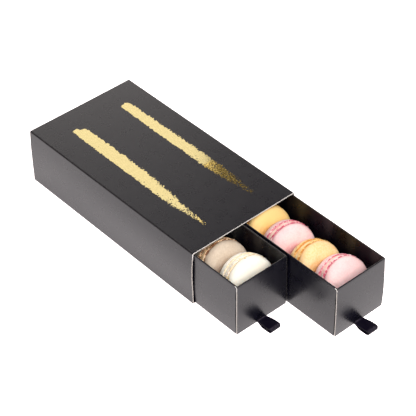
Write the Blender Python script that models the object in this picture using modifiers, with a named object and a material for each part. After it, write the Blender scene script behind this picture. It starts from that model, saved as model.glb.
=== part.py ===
"""Macaron drawer box: a black card sleeve with two pull-out drawers of macarons.

Metres, +Z up. The origin is on the sleeve's underside, at its middle. The sleeve lies
along Y with its mouth at -Y, and both drawers slide out along -Y. As modelled they
stand open, the right one about twice as far as the left one. Sizes below are in
millimetres and are turned into metres by MM.
"""
import math

import bmesh
import bpy
from mathutils import Vector, noise

MM = 0.001

# Gap between pieces that touch in the real thing
GAP = 0.3

# Sleeve: one creased card tube, open at both ends
SLEEVE_WIDTH = 110.0
SLEEVE_HEIGHT = 53.5
SLEEVE_LENGTH = 210.0
BOARD = 0.7
CREASE_RADIUS = 1.2
CREASE_STEPS = 3
SIDE_STEPS = 6
SIDE_BOW_MOUTH = 1.7
SIDE_BOW_BACK = 0.7
SLEEVE_STATIONS = 6
MOUTH_Y = -SLEEVE_LENGTH / 2

# Drawers: folded card trays, side by side in the sleeve
DRAWER_GAP = 1.6
DRAWER_WIDTH = (SLEEVE_WIDTH - 2 * (BOARD + GAP) - DRAWER_GAP) / 2
DRAWER_LENGTH = 208.0
DRAWER_HEIGHT = 51.0
DRAWER_BASE = BOARD + GAP
DRAWER_WALL = 1.3
DRAWER_FLOOR = 0.7
DRAWER_CORNER = 0.8
DRAWER_CORNER_STEPS = 2
DRAWER_MIDDLE = (DRAWER_GAP + DRAWER_WIDTH) / 2
LEFT_PULL = 50.0
RIGHT_PULL = 103.0
# Cut edge of the front panel's outer ply, bare at the left corner
FRONT_PLY = 0.75
PLY_GROOVE_WIDTH = 0.35
PLY_GROOVE_DEPTH = 0.6

# Ribbon pull: a flattened loop that leaves each front through a slit near its foot
RIBBON_WIDTH = 11.5
RIBBON_THICKNESS = 0.4
RIBBON_REACH = 16.8
RIBBON_TUCK = 0.65
RIBBON_SLIT_LOW = 0.95
RIBBON_SLIT_HIGH = 1.7
RIBBON_END_LOW = -0.55
RIBBON_END_HIGH = 3.0
RIBBON_LEG_STEPS = 8
RIBBON_END_STEPS = 6

# Macarons: two domed shells with ruffled feet round a flat filling
FILLING_HALF = 1.55
FILLING_INSET = 1.1
FOOT_START = FILLING_HALF + GAP
FOOT_HEIGHT = 1.9
FOOT_CREASE = 0.7
RUFFLE = 0.3
OUT_OF_ROUND = 0.25
DOME_UNEVENNESS = 0.15
FINE_STEPS = 24
PLAIN_STEPS = 16

# Macarons that show, from the front: distance behind the drawer's front, sideways
# offset, radius, thickness, lean back in degrees, turn in degrees
RIGHT_SEEN = (
    (21.8, 1.2, 23.5, 25.5, 23.5, -1.0),
    (50.0, 0.0, 22.4, 24.5, 24.5, -2.5),
    (80.2, -0.7, 22.8, 25.5, 17.0, -8.8),
    (108.3, -0.2, 23.1, 24.5, 20.0, -2.0),
)
LEFT_SEEN = (
    (18.6, 0.8, 24.0, 25.0, 20.0, -3.0),
    (47.0, -0.2, 23.2, 25.5, 20.5, -1.5),
)
# Each row goes on unseen under the sleeve
ROW_COUNT = 7
HIDDEN_RADIUS = 23.2
HIDDEN_THICKNESS = 24.0
HIDDEN_LEAN = 17.0
HIDDEN_OFFSET = 0.8
HIDDEN_CLEARANCE = 0.6

# Colours and roughness
BLACK_CARD = (0.026, 0.025, 0.028)
BLACK_SATIN = (0.006, 0.006, 0.009)
SHELL_COLOURS = {
    "pink": (0.93, 0.70, 0.70),
    "yellow": (0.96, 0.75, 0.40),
    "white": (0.95, 0.93, 0.84),
    "taupe": (0.80, 0.65, 0.50),
}
FILLING_COLOURS = {
    "pink": (0.92, 0.66, 0.50),
    "yellow": (0.93, 0.72, 0.38),
    "white": (0.93, 0.90, 0.76),
    "taupe": (0.72, 0.50, 0.30),
}
CARD_ROUGHNESS = 0.36
SATIN_ROUGHNESS = 0.40
SHELL_ROUGHNESS = 0.60
FILLING_ROUGHNESS = 0.70


def clear_scene():
    for obj in list(bpy.data.objects):
        bpy.data.objects.remove(obj, do_unlink=True)


def new_collection(name):
    group = bpy.data.collections.new(name)
    bpy.context.scene.collection.children.link(group)
    return group


def make_material(name, colour, roughness):
    material = bpy.data.materials.new(name)
    material.use_nodes = True
    shader = material.node_tree.nodes["Principled BSDF"]
    shader.inputs["Base Color"].default_value = (*colour, 1.0)
    shader.inputs["Roughness"].default_value = roughness
    shader.inputs["Metallic"].default_value = 0.0
    material.diffuse_color = (*colour, 1.0)
    return material


def add_object(name, mesh, group, parent=None, material=None):
    obj = bpy.data.objects.new(name, mesh)
    group.objects.link(obj)
    obj.parent = parent
    if material is not None:
        mesh.materials.append(material)
    return obj


def finish_mesh(name, bm):
    mesh = bpy.data.meshes.new(name)
    bm.to_mesh(mesh)
    bm.free()
    return mesh


def smooth_step(t):
    t = min(1.0, max(0.0, t))
    return t * t * (3 - 2 * t)


# Card work

def box_bmesh(low, high):
    """A box between two corners given in millimetres."""
    bm = bmesh.new()
    bmesh.ops.create_cube(bm, size=1.0)
    low = Vector(low)
    high = Vector(high)
    for vert in bm.verts:
        share = vert.co + Vector((0.5, 0.5, 0.5))
        vert.co = Vector(a + (b - a) * t for a, b, t in zip(low, high, share)) * MM
    return bm


def cut_box(target, name, low, high, cutters):
    """Cut a box out of the target; both share one parent and its millimetres."""
    cutter = add_object(name, finish_mesh(name, box_bmesh(low, high)), cutters, target.parent)
    cutter.hide_render = True
    cutter.display_type = "WIRE"
    cut = target.modifiers.new(name, "BOOLEAN")
    cut.operation = "DIFFERENCE"
    cut.solver = "EXACT"
    cut.object = cutter


def loft(name, rings, ring_closed):
    """Open surface through rings of points given in millimetres."""
    bm = bmesh.new()
    rows = [[bm.verts.new(Vector(point) * MM) for point in ring] for ring in rings]
    for row, next_row in zip(rows, rows[1:]):
        sides = len(row) if ring_closed else len(row) - 1
        for i in range(sides):
            j = (i + 1) % len(row)
            bm.faces.new((next_row[i], next_row[j], row[j], row[i]))
    return finish_mesh(name, bm)


def thicken(obj, thickness, offset):
    shell = obj.modifiers.new("card", "SOLIDIFY")
    shell.thickness = thickness * MM
    shell.offset = offset
    shell.use_even_offset = True


def sleeve_outline():
    """Rounded rectangle (x, z), anticlockwise seen from the mouth."""
    half = SLEEVE_WIDTH / 2
    inner = half - CREASE_RADIUS
    low = CREASE_RADIUS
    high = SLEEVE_HEIGHT - CREASE_RADIUS
    points = []
    for cx, cz, start in ((inner, low, -90), (inner, high, 0), (-inner, high, 90), (-inner, low, 180)):
        for i in range(CREASE_STEPS + 1):
            angle = math.radians(start + 90 * i / CREASE_STEPS)
            points.append((cx + CREASE_RADIUS * math.cos(angle), cz + CREASE_RADIUS * math.sin(angle)))
        if start in (-90, 90):
            rise = SLEEVE_HEIGHT - 2 * cz
            for i in range(1, SIDE_STEPS):
                points.append((math.copysign(half, cx), cz + rise * i / SIDE_STEPS))
    return points


def sleeve_ring(y):
    """The outline at y, its side panels bowed out, most at the mouth."""
    bow = SIDE_BOW_MOUTH + (SIDE_BOW_BACK - SIDE_BOW_MOUTH) * smooth_step((y - MOUTH_Y) / SLEEVE_LENGTH)
    ring = []
    for x, z in sleeve_outline():
        bulge = bow * math.sin(math.pi * z / SLEEVE_HEIGHT)
        ring.append((x + math.copysign(bulge, x), y, z))
    return ring


def make_sleeve(group, card):
    step = SLEEVE_LENGTH / SLEEVE_STATIONS
    rings = [sleeve_ring(MOUTH_Y + step * i) for i in range(SLEEVE_STATIONS + 1)]
    sleeve = add_object("sleeve", loft("sleeve", rings, True), group, material=card)
    thicken(sleeve, BOARD, -1.0)


def round_corners(bm):
    """Round the tray's upright folds, all but the bare cut corner at front left."""
    folds = []
    for edge in bm.edges:
        a, b = (vert.co for vert in edge.verts)
        upright = abs(a.z - b.z) > DRAWER_HEIGHT / 2 * MM
        cut_corner = a.x < 0 and a.y < DRAWER_LENGTH / 2 * MM
        if upright and not cut_corner:
            folds.append(edge)
    bmesh.ops.bevel(bm, geom=folds, offset=DRAWER_CORNER * MM, segments=DRAWER_CORNER_STEPS,
                    profile=0.5, affect="EDGES")


def make_tray(side, frame, group, cutters, card):
    """Tray in its drawer's frame: x from the middle, y back from the front, z up from its base."""
    half = DRAWER_WIDTH / 2
    bm = box_bmesh((-half, 0, 0), (half, DRAWER_LENGTH, DRAWER_HEIGHT))
    round_corners(bm)
    name = f"{side}_tray"
    tray = add_object(name, finish_mesh(name, bm), group, frame, card)
    inside = half - DRAWER_WALL
    above = DRAWER_HEIGHT + 1
    cut_box(tray, f"{side}_hollow", (-inside, DRAWER_WALL, DRAWER_FLOOR),
            (inside, DRAWER_LENGTH - DRAWER_WALL, above), cutters)
    cut_box(tray, f"{side}_ply_groove", (-half - 1, FRONT_PLY, -1),
            (-half + PLY_GROOVE_DEPTH, FRONT_PLY + PLY_GROOVE_WIDTH, above), cutters)
    ribbon_half = RIBBON_WIDTH / 2 + GAP
    edge = RIBBON_THICKNESS / 2 + GAP
    cut_box(tray, f"{side}_ribbon_slit", (-ribbon_half, -1, RIBBON_SLIT_LOW - edge),
            (ribbon_half, RIBBON_TUCK + GAP, RIBBON_SLIT_HIGH + edge), cutters)


# Ribbon pulls

def ribbon_path():
    """(y, z) along the loop's middle line: out at the bottom, round the end, back on top."""
    radius = (RIBBON_END_HIGH - RIBBON_END_LOW) / 2
    centre = (RIBBON_END_HIGH + RIBBON_END_LOW) / 2
    leg = RIBBON_REACH - radius
    out = [(RIBBON_TUCK, RIBBON_SLIT_LOW)]
    back = [(RIBBON_TUCK, RIBBON_SLIT_HIGH)]
    for i in range(RIBBON_LEG_STEPS):
        t = i / RIBBON_LEG_STEPS
        fall = smooth_step(2 * t)
        rise = smooth_step(t)
        out.append((-leg * t, RIBBON_SLIT_LOW + (RIBBON_END_LOW - RIBBON_SLIT_LOW) * fall))
        back.append((-leg * t, RIBBON_SLIT_HIGH + (RIBBON_END_HIGH - RIBBON_SLIT_HIGH) * rise))
    turn = []
    for i in range(RIBBON_END_STEPS + 1):
        angle = math.radians(-90 + 180 * i / RIBBON_END_STEPS)
        turn.append((-leg - radius * math.cos(angle), centre + radius * math.sin(angle)))
    return out + turn + back[::-1]


def make_ribbon(side, frame, group, satin):
    half = RIBBON_WIDTH / 2
    rings = [[(-half, y, z), (half, y, z)] for y, z in ribbon_path()]
    name = f"{side}_ribbon"
    ribbon = add_object(name, loft(name, rings, False), group, frame, satin)
    thicken(ribbon, RIBBON_THICKNESS, 0.0)


# Macarons

def shell_profile(radius, thickness):
    """(r, height) of one shell, from its domed top down its side to its flat underside."""
    crease = FOOT_START + FOOT_HEIGHT
    dome = thickness / 2 - crease
    top = [(0.0, 1.0), (0.45, 0.985), (0.70, 0.93), (0.86, 0.76), (0.955, 0.50), (0.985, 0.22)]
    profile = [(radius * r, crease + dome * h) for r, h in top]
    profile.append((radius - FOOT_CREASE, crease))
    profile.append((radius, crease - 0.35 * FOOT_HEIGHT))
    profile.append((radius - 0.1, FOOT_START + 0.2 * FOOT_HEIGHT))
    profile.append((radius - 0.5, FOOT_START))
    profile.append((0.0, FOOT_START))
    return profile


def filling_profile(radius):
    edge = radius - FILLING_INSET
    return [(0.0, FILLING_HALF), (edge - 0.4, FILLING_HALF), (edge, 0.0),
            (edge - 0.4, -FILLING_HALF), (0.0, -FILLING_HALF)]


def turned_mesh(name, profile, steps):
    """Mesh of a profile, given top to bottom, turned once round Z."""
    bm = bmesh.new()
    verts = [bm.verts.new(Vector((r, 0, z)) * MM) for r, z in profile]
    for a, b in zip(verts, verts[1:]):
        bm.edges.new((a, b))
    outline = finish_mesh("outline", bm)
    obj = bpy.data.objects.new("outline", outline)
    bpy.context.scene.collection.objects.link(obj)
    turn = obj.modifiers.new("turn", "SCREW")
    turn.steps = steps
    turn.render_steps = steps
    turn.use_merge_vertices = True
    turn.merge_threshold = 0.00001
    bpy.context.view_layer.update()
    evaluated = obj.evaluated_get(bpy.context.evaluated_depsgraph_get())
    mesh = bpy.data.meshes.new_from_object(evaluated)
    bpy.data.objects.remove(obj, do_unlink=True)
    bpy.data.meshes.remove(outline)
    mesh.name = name
    return mesh


def roughen(mesh, radius, seed):
    """Make a turned piece slightly oval, with a ruffled foot and an uneven dome."""
    for vert in mesh.vertices:
        x, y, z = vert.co / MM
        r = math.hypot(x, y)
        if r < 0.01:
            continue
        angle = math.atan2(y, x)
        height = abs(z)
        rim = (r / radius) ** 2
        swell = OUT_OF_ROUND * rim * (math.cos(2 * angle + seed) + 0.5 * math.cos(3 * angle + 2 * seed))
        spot = Vector((6 * math.cos(angle), 6 * math.sin(angle), seed + height))
        foot = FOOT_START < height < FOOT_START + FOOT_HEIGHT
        swell += (RUFFLE if foot else DOME_UNEVENNESS) * noise.noise(spot)
        if height > FOOT_START + FOOT_HEIGHT:
            lift = DOME_UNEVENNESS * noise.noise(Vector((x / 8, y / 8, seed)))
            vert.co.z += math.copysign(lift, z) * MM
        vert.co.x = x * (1 + swell / r) * MM
        vert.co.y = y * (1 + swell / r) * MM


def flip_over(mesh):
    """Turn a shell half round about X, so that its dome faces the other way."""
    for vert in mesh.vertices:
        vert.co.y = -vert.co.y
        vert.co.z = -vert.co.z


def lowest_point(objects):
    return min((obj.matrix_world @ vert.co).z for obj in objects for vert in obj.data.vertices)


def make_macaron(name, spec, steps, seed, frame, group, shell, filling):
    """One macaron standing on edge in its drawer, leaning back against the next."""
    distance, offset, radius, thickness, lean, turn = spec
    holder = add_object(f"{name}_axis", None, group, frame)
    holder.rotation_euler = (math.radians(90 - lean), 0, math.radians(turn))
    front = turned_mesh(f"{name}_front", shell_profile(radius, thickness), steps)
    rear = turned_mesh(f"{name}_rear", shell_profile(radius, thickness), steps)
    middle = turned_mesh(f"{name}_filling", filling_profile(radius), steps)
    flip_over(rear)
    pieces = []
    for number, (mesh, material) in enumerate(((front, shell), (middle, filling), (rear, shell))):
        roughen(mesh, radius, seed + 0.7 * number)
        pieces.append(add_object(mesh.name, mesh, group, holder, material))
    holder.location = Vector((offset, distance, 0)) * MM
    bpy.context.view_layer.update()
    floor = DRAWER_BASE + DRAWER_FLOOR + GAP
    holder.location.z += floor * MM - lowest_point(pieces)


def row_specs(seen):
    """The macarons of one drawer: those that show, then the hidden ones behind them."""
    specs = list(seen)
    while len(specs) < ROW_COUNT:
        distance, _, radius, thickness, lean, _ = specs[-1]
        wedge = 0.7 * radius * math.sin(math.radians(lean - HIDDEN_LEAN))
        gap = (thickness + HIDDEN_THICKNESS) / 2 + HIDDEN_CLEARANCE + wedge
        distance += gap / math.cos(math.radians(HIDDEN_LEAN))
        offset = HIDDEN_OFFSET if len(specs) % 2 else -HIDDEN_OFFSET
        specs.append((distance, offset, HIDDEN_RADIUS, HIDDEN_THICKNESS, HIDDEN_LEAN, 0.0))
    return specs


def make_row(side, seen, flavours, frame, group, materials):
    for i, spec in enumerate(row_specs(seen)):
        flavour = flavours[i % len(flavours)]
        steps = FINE_STEPS if i < len(seen) else PLAIN_STEPS
        seed = 1.0 + 1.9 * i + (10.0 if side == "right" else 0.0)
        make_macaron(f"{side}_macaron_{i + 1}", spec, steps, seed, frame, group,
                     materials[f"{flavour}_shell"], materials[f"{flavour}_filling"])


def make_drawer(side, middle, pull, seen, flavours, group, cutters, materials):
    frame = add_object(f"{side}_drawer_frame", None, group)
    frame.location = Vector((middle, MOUTH_Y - pull, DRAWER_BASE)) * MM
    bpy.context.view_layer.update()
    make_tray(side, frame, group, cutters, materials["black_card"])
    make_ribbon(side, frame, group, materials["black_satin"])
    make_row(side, seen, flavours, frame, group, materials)


def make_materials():
    materials = {
        "black_card": make_material("black_card", BLACK_CARD, CARD_ROUGHNESS),
        "black_satin": make_material("black_satin", BLACK_SATIN, SATIN_ROUGHNESS),
    }
    for flavour, colour in SHELL_COLOURS.items():
        name = f"{flavour}_shell"
        materials[name] = make_material(name, colour, SHELL_ROUGHNESS)
    for flavour, colour in FILLING_COLOURS.items():
        name = f"{flavour}_filling"
        materials[name] = make_material(name, colour, FILLING_ROUGHNESS)
    return materials


def main():
    clear_scene()
    group = new_collection("macaron_drawer_box")
    cutters = new_collection("cutters")
    materials = make_materials()
    make_sleeve(group, materials["black_card"])
    make_drawer("left", -DRAWER_MIDDLE, LEFT_PULL, LEFT_SEEN, ("white", "taupe"),
                group, cutters, materials)
    make_drawer("right", DRAWER_MIDDLE, RIGHT_PULL, RIGHT_SEEN, ("pink", "yellow"),
                group, cutters, materials)


main()
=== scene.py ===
"""Looks of the macaron drawer box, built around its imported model.

The box stands at the origin: sleeve along Y with its mouth at -Y, +Z up. Sizes are in
millimetres unless a name says otherwise, and MM turns them into Blender's metres.
"""

import math

import bmesh
import bpy
import numpy as np
from mathutils import Matrix, Vector


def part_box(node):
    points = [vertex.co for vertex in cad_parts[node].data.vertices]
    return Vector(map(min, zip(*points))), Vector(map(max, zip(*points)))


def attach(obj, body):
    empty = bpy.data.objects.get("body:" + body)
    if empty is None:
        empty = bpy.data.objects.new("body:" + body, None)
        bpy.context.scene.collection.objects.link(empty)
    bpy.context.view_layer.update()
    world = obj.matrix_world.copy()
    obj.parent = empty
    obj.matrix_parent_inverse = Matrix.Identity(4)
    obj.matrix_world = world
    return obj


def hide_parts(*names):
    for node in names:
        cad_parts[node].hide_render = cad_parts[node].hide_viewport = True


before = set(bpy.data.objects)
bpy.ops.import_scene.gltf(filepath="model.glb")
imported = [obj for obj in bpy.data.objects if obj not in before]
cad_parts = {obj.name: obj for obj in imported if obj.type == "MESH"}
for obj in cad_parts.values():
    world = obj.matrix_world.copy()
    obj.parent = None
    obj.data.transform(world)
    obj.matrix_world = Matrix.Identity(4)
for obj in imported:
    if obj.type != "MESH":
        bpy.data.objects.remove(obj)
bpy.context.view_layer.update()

MM = 0.001

# Camera, as solved from the box's corners in the photograph
IMAGE_PIXELS = 416
FOCAL_PIXELS = 1632.4
SENSOR_MM = 36.0
CAMERA_AZIMUTH = -41.17
CAMERA_ELEVATION = 40.926
CAMERA_ROLL = -0.867
CAMERA_DISTANCE = 1393.609
CAMERA_TARGET = (30.939, -25.648, 0.0)
CLIP_START, CLIP_END = 0.05, 60.0

# Floor and sky, in metres and radiance. The floor's glow fades away from its centre.
FLOOR_HALF = 7.0
FLOOR_DROP = 0.0004
FLOOR_GLOW_NEAR = 1.85
FLOOR_GLOW_FAR = 0.35
FLOOR_GLOW_RADII = (0.16, 1.0)
FLOOR_GLOW_CENTRE = (-0.02, -0.17, 0.0)
FLOOR_GLOW_COLOUR = (1.0, 0.92, 0.925)
FLOOR_COLOUR = (0.70, 0.70, 0.70)
HORIZON_RADIANCE = (0.31, 0.30, 0.30)
SKY_RADIANCE = (0.20, 0.19, 0.20)
HORIZON_RISE = 0.35

# Soft rectangles of light in metres: place, the point they face, size, radiance, colour.
# The back of the top mirrors the strip, which stands beyond it.
LIGHTS = {
    "key": ((0.12, -1.08, 1.20), (0.03, -0.15, 0.03), (0.9, 0.9), 6.4, (1.0, 0.985, 0.96)),
    "fill": ((-0.95, -0.90, 1.20), (0.0, -0.15, 0.03), (1.0, 1.0), 6.8, (1.0, 0.985, 0.97)),
    "strip": ((1.05, 1.20, 0.72), (0.0, 0.0, 0.05), (2.2, 0.55), 4.3, (1.0, 0.92, 0.87)),
}
# A level panel that the foil mirrors. Its near edge ends the bright part of the right stroke.
PANEL_EDGE = (0.948, 1.019, 1.2)
PANEL_ALONG = (0.63, 0.777, 0.0)
PANEL_INWARD = (-0.777, 0.63, 0.0)
PANEL_SHIFT = 0.05
PANEL_SIZE = (1.7, 1.2)
PANEL_RADIANCE = 1.25
PANEL_COLOUR = (1.0, 0.96, 0.92)


def box_mm(node):
    """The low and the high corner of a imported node."""
    low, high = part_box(node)
    return np.array(low) / MM, np.array(high) / MM


# Sleeve: card with its white core bare at both ends
BOARD = 0.7
CORE_WRAP = 0.16
CORE_DEPTH = 0.3
EDGE_BAND = 0.4
FOIL_THICKNESS = 0.03
CREASE_RADIUS = 1.2
BOTTOM_RADIUS = 0.25
# The first point of a flat side lies this near its corner, so that its shading stays flat
CRISP_END = 0.2
# Steps round a corner, up a side and across the top, and rings along the sleeve
SLEEVE_STEPS = (5, 22, 36)
SLEEVE_RINGS = 39
SIDE_BOW_MOUTH = 1.7
SIDE_BOW_BACK = 0.7
# Share of that bow at the bottom, what it gains towards the top, and the flare of the foot
BELLY_LOW = 0.25
BELLY_GAIN = 0.95
SIDE_FLARE = 0.9
FLARE_POWER = 1.5
TOP_SAG = 0.10
TOP_SAG_CHANGE = 0.05
TOP_SAG_SIZE = 60
SLEEVE_HALF = 55.0
SLEEVE_LOW, SLEEVE_HIGH = box_mm("sleeve")
SLEEVE_LENGTH = SLEEVE_HIGH[1] - SLEEVE_LOW[1]
CARD_TOP = SLEEVE_HIGH[2] - FOIL_THICKNESS

# Drawer trays
TRAY_WALL = 1.3
TRAY_FLOOR = 0.7
TRAY_CORNER = 0.8
TRAY_INNER_CORNER = 0.3
TRAY_LOW, TRAY_HIGH = box_mm("left_tray")
TRAY_HALF = (TRAY_HIGH[0] - TRAY_LOW[0]) / 2
TRAY_LENGTH = TRAY_HIGH[1] - TRAY_LOW[1]
TRAY_BULGE = 0.8
TRAY_INNER_BULGE = 0.5
BULGE_POWER = 0.8
# Waves in the walls: their depth, and their size along and up the wall
TRAY_WAVE = 0.12
TRAY_WAVE_LENGTH = 40
TRAY_WAVE_RISE = 30
CORNER_STEPS = 6
SIDE_STEPS = 60
FRONT_STEPS = 26
WALL_LEVELS = 20
RIM_LEVELS = 11
INNER_LEVELS = 12
FRONT_PLY = 0.75
PLY_GROOVE_WIDTH = 1.3
PLY_GROOVE_DEPTH = 1.1

# Bare core of the front ply: middle line, half width, depth and the hook over the rim
CORE_PROUD = 0.02
CORE_SUNK = 0.25
CORE_LINE = 0.38
CORE_HALF = 0.26
HOOK_START = 0.40
HOOK_DROP = 2.2
HOOK_REACH = 1.6
HOOK_RISE = 1.75
HOOK_HALF = 0.30
HOOK_TIP = (2.6, 0.42, 0.16)
# Painted shade on the bare core, darker on its sides and low parts than on its top: sleeve ends, ply strip
# and the hook
SOILED = {"sleeve": 0.7, "ply": 0.65, "hook": 0.2}

# Ribbon pulls
RIBBON_THICKNESS = 0.4
RIBBON_TUCK = 1.15
RIBBON_SLIT_LOW = 0.95
RIBBON_SLIT_HIGH = 1.7
RIBBON_END_LOW = -0.55
RIBBON_END_HIGH = 2.8
RIBBON_ROUND = 3.0
RIBBON_SHIFT = -0.9
RIBBON_LEG_STEPS = 26
RIBBON_TURN_STEPS = 17
RIBBON_WIDTH_STEPS = 25
# Width where it leaves the slit, as a share, and how much its end narrows
RIBBON_PINCH = 0.84
RIBBON_END_NARROWING = 0.24
RIBBON_WAVE = 0.16
# Painted gleams across the ribbon's colour: place along it, spread and strength
RIBBON_GLEAMS = ((0.05, 0.035, 1.0), (0.90, 0.04, 0.8))

# Macarons
FOOT_START = 1.85
FOOT_HEIGHT = 1.9
FLAVOURS = {"left": ("white", "taupe"), "right": ("pink", "yellow")}
# Crumbs on a shell: degrees round from the top, height above its middle plane, size
CRUMBS = {
    "left_macaron_1_front": ((2.0, 4.9, 1.3), (-52.0, 4.7, 1.3), (-50.0, 2.3, 1.0), (62.0, 3.9, 1.0)),
}
# Macarons baked a little darker than the others of their flavour
BAKED = {
    "left_macaron_4": 0.3, "left_macaron_5": 0.2, "right_macaron_1": 0.15,
    "right_macaron_4": 1.0, "right_macaron_5": 0.1, "right_macaron_6": 0.3,
}
ROW_COUNT = 7
# How many show in the photograph, and the steps round those and round the others
SEEN_COUNT = {"left": 2, "right": 4}
SEEN_STEPS = 360
OTHER_STEPS = 180
DOME_ROWS = 28
FOOT_ROWS = 12
FILLING_ROWS = 13
# Powers that shape the dome: flat in the middle and round at its rim
DOME_SPREAD = 0.5
DOME_RISE = 0.72
# How far the foot's colour climbs the dome, and how far its crease lies in from the rim
TOASTED_HEIGHT = 2.2
TOASTED_MOST = 0.8
CREASE_INSET = 0.40
# Relief as height and size of its features
BUBBLES = ((0.9, 1.9), (0.8, 0.95))
BUBBLE_HEIGHT = 0.34
CREASE_RUFFLES = ((0.28, 5), (0.18, 2.2))
DOME_WAVES = ((0.20, 11), (0.05, 1.8))
OUT_OF_ROUND = ((0.20, 14),)
FILLING_LUMPS = ((0.6, 1.8), (0.5, 0.8))
FILLING_RELIEF = 0.32
# Painted warm shade where a neighbour or the drawer's front is near
NEIGHBOUR_SHADE = 0.4
FRONT_SHADE = 0.30

# Foil strokes: start and end along the sleeve. Middle line and half width change along it,
# the start line across it, and from "dull" on the foil is thin and dark.
STROKES = {
    "left": dict(start=79.6, end=-85.0, middle=((0.0, 0.48, 0.8, 1.0), (-23.1, -23.1, -25.0, -24.2)),
                 half=((0.0, 0.1, 0.48, 0.66, 0.80, 0.9, 1.0), (5.5, 6.0, 6.2, 5.6, 4.2, 3.0, 2.4)),
                 begins=((-1.0, -0.6, 0.0, 0.1, 0.3, 0.8, 1.0), (0.0, 0.9, 0.4, -2.6, -2.4, -3.2, -6.0)),
                 dull=(0.86, 1.05), seed=11),
    "right": dict(start=80.6, end=-82.0, middle=((0.0, 0.5, 0.8, 1.0), (28.5, 28.6, 28.9, 30.2)),
                  half=((0.0, 0.1, 0.5, 0.72, 0.84, 0.92, 1.0), (4.3, 4.9, 5.4, 5.6, 5.1, 4.3, 2.8)),
                  begins=((-1.0, -0.8, -0.3, 0.3, 0.8, 1.0), (-2.6, -0.8, -0.6, 0.0, -1.6, -4.0)),
                  dull=(0.655, 0.69), seed=37),
}
FOIL_CELL = 0.4
FOIL_MARGIN = 2.5
# Where along the stroke its edges and its cover begin to fray
FRAY_START = 0.35
RIGHT_ROUGHNESS = 1.25
LEFT_ROUGHNESS = 0.7
BRISTLE_STRETCH = 2.6
FULL_COVER = 0.90
FRAYED_LOSS = 0.34
END_LOSS = 0.36


# Small helpers

def smooth_step(t):
    """Eases from 0 to 1 while t goes from 0 to 1."""
    t = np.clip(t, 0.0, 1.0)
    return t * t * (3 - 2 * t)


def corner_values(cell, seed):
    """A repeatable value in -1..1 for each whole-number corner of a lattice."""
    x, y, z = (cell[:, k].astype(np.int64).astype(np.uint32) for k in range(3))
    h = x * np.uint32(374761393) + y * np.uint32(668265263) + z * np.uint32(2246822519)
    h = h + np.uint32(seed * 3266489917 % 2**32)
    h = (h ^ (h >> np.uint32(13))) * np.uint32(1274126177)
    h = (h ^ (h >> np.uint32(16))) * np.uint32(2654435761)
    h = h ^ (h >> np.uint32(15))
    return h.astype(float) / 2**31 - 1.0


def noise(points, size, seed):
    """Smooth noise in -1..1 at an array of points, with features of about that size."""
    p = np.asarray(points, float) / size
    cell = np.floor(p)
    f = smooth_step(p - cell)
    total = np.zeros(len(p))
    for corner in np.ndindex(2, 2, 2):
        c = np.array(corner)
        weight = np.prod(np.where(c, f, 1 - f), axis=1)
        total += weight * corner_values(cell + c, seed)
    return total


def face_out(mesh):
    """Turn every face of a closed mesh outward."""
    bm = bmesh.new()
    bm.from_mesh(mesh)
    bmesh.ops.recalc_face_normals(bm, faces=bm.faces)
    bm.to_mesh(mesh)
    bm.free()


def add_mesh(name, verts, faces, material, body, slot, replaced=(), sharp=None, **attributes):
    """A piece of the object from points in millimetres: shaded smooth, riding on its body."""
    mesh = bpy.data.meshes.new(name)
    mesh.from_pydata((np.asarray(verts) * MM).tolist(), [], faces)
    face_out(mesh)
    mesh.shade_smooth()
    if sharp is not None:
        mesh.set_sharp_from_angle(angle=math.radians(sharp))
    for key, values in attributes.items():
        layer = mesh.attributes.new(key, "FLOAT", "POINT")
        layer.data.foreach_set("value", np.asarray(values, np.float32))
    mesh.materials.append(material)
    obj = bpy.data.objects.new(name, mesh)
    bpy.context.scene.collection.objects.link(obj)
    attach(obj, body)
    if replaced:
        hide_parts(*replaced)
    return obj


def ring_faces(rings, count, closed_rings=False, closed_loft=False):
    """Quads between rings of equal point count; each ring is itself a closed loop if asked."""
    faces = []
    last = rings if closed_loft else rings - 1
    sides = count if closed_rings else count - 1
    for i in range(last):
        a = i * count
        b = (i + 1) % rings * count
        for j in range(sides):
            k = (j + 1) % count
            faces.append((a + j, a + k, b + k, b + j))
    return faces


# Camera, floor and light

def make_camera():
    azimuth = math.radians(CAMERA_AZIMUTH)
    elevation = math.radians(CAMERA_ELEVATION)
    roll = math.radians(CAMERA_ROLL)
    back = Vector((math.sin(azimuth) * math.cos(elevation), -math.cos(azimuth) * math.cos(elevation),
                   math.sin(elevation)))
    level = Vector((0, 0, 1)).cross(back).normalized()
    upright = back.cross(level)
    right = level * math.cos(roll) + upright * math.sin(roll)
    up = upright * math.cos(roll) - level * math.sin(roll)
    place = (Vector(CAMERA_TARGET) + back * CAMERA_DISTANCE) * MM
    data = bpy.data.cameras.new("camera")
    data.sensor_width = SENSOR_MM
    data.lens = FOCAL_PIXELS / IMAGE_PIXELS * SENSOR_MM
    data.clip_start = CLIP_START
    data.clip_end = CLIP_END
    camera = bpy.data.objects.new("camera", data)
    bpy.context.scene.collection.objects.link(camera)
    turn = Matrix((right, up, back)).transposed()
    camera.matrix_world = Matrix.Translation(place) @ turn.to_4x4()
    bpy.context.scene.camera = camera


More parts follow.
